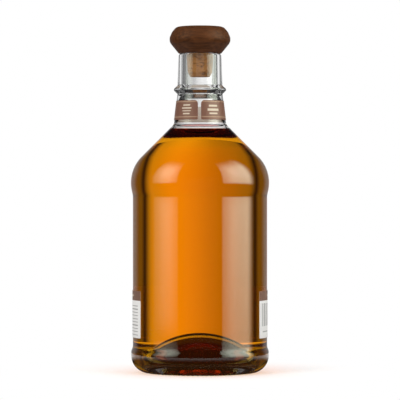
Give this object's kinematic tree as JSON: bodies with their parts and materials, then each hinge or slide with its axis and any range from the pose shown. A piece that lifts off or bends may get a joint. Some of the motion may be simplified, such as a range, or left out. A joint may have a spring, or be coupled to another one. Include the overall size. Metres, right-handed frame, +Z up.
{
  "type": "bourbon whiskey bottle",
  "caption": "Filled glass spirits bottle with a punted base, a collared neck, paper labels and a wooden-headed cork stopper.",
  "frame": {"origin": "on the bottle's axis, in the plane that it stands on", "axes": "+Z up along the bottle's axis, -Y towards the side where the two ends of the neck label meet"},
  "size_m": [0.0916, 0.0916, 0.2295],
  "materials": {
    "glass": "clear, polished, blown",
    "whiskey": "clear amber liquid",
    "neck_paper": "copper-brown, satin",
    "label_paper": "white with a brown head band, satin",
    "wood": "dark stained, semi-gloss, turned",
    "cork": "natural cork, matt"
  },
  "bodies": {
    "bottle": {"glass_bottle": "glass", "whiskey": "whiskey", "neck_label": "neck_paper", "text_label": "label_paper", "barcode_label": "label_paper"},
    "stopper": {"stopper_head": "wood", "stopper_cork": "cork"}
  },
  "joints": [
    {"name": "stopper_pull", "type": "slide", "parent": "bottle", "child": "stopper", "axis": [0, 0, 1], "range_m": [0, 0.03]}
  ]
}
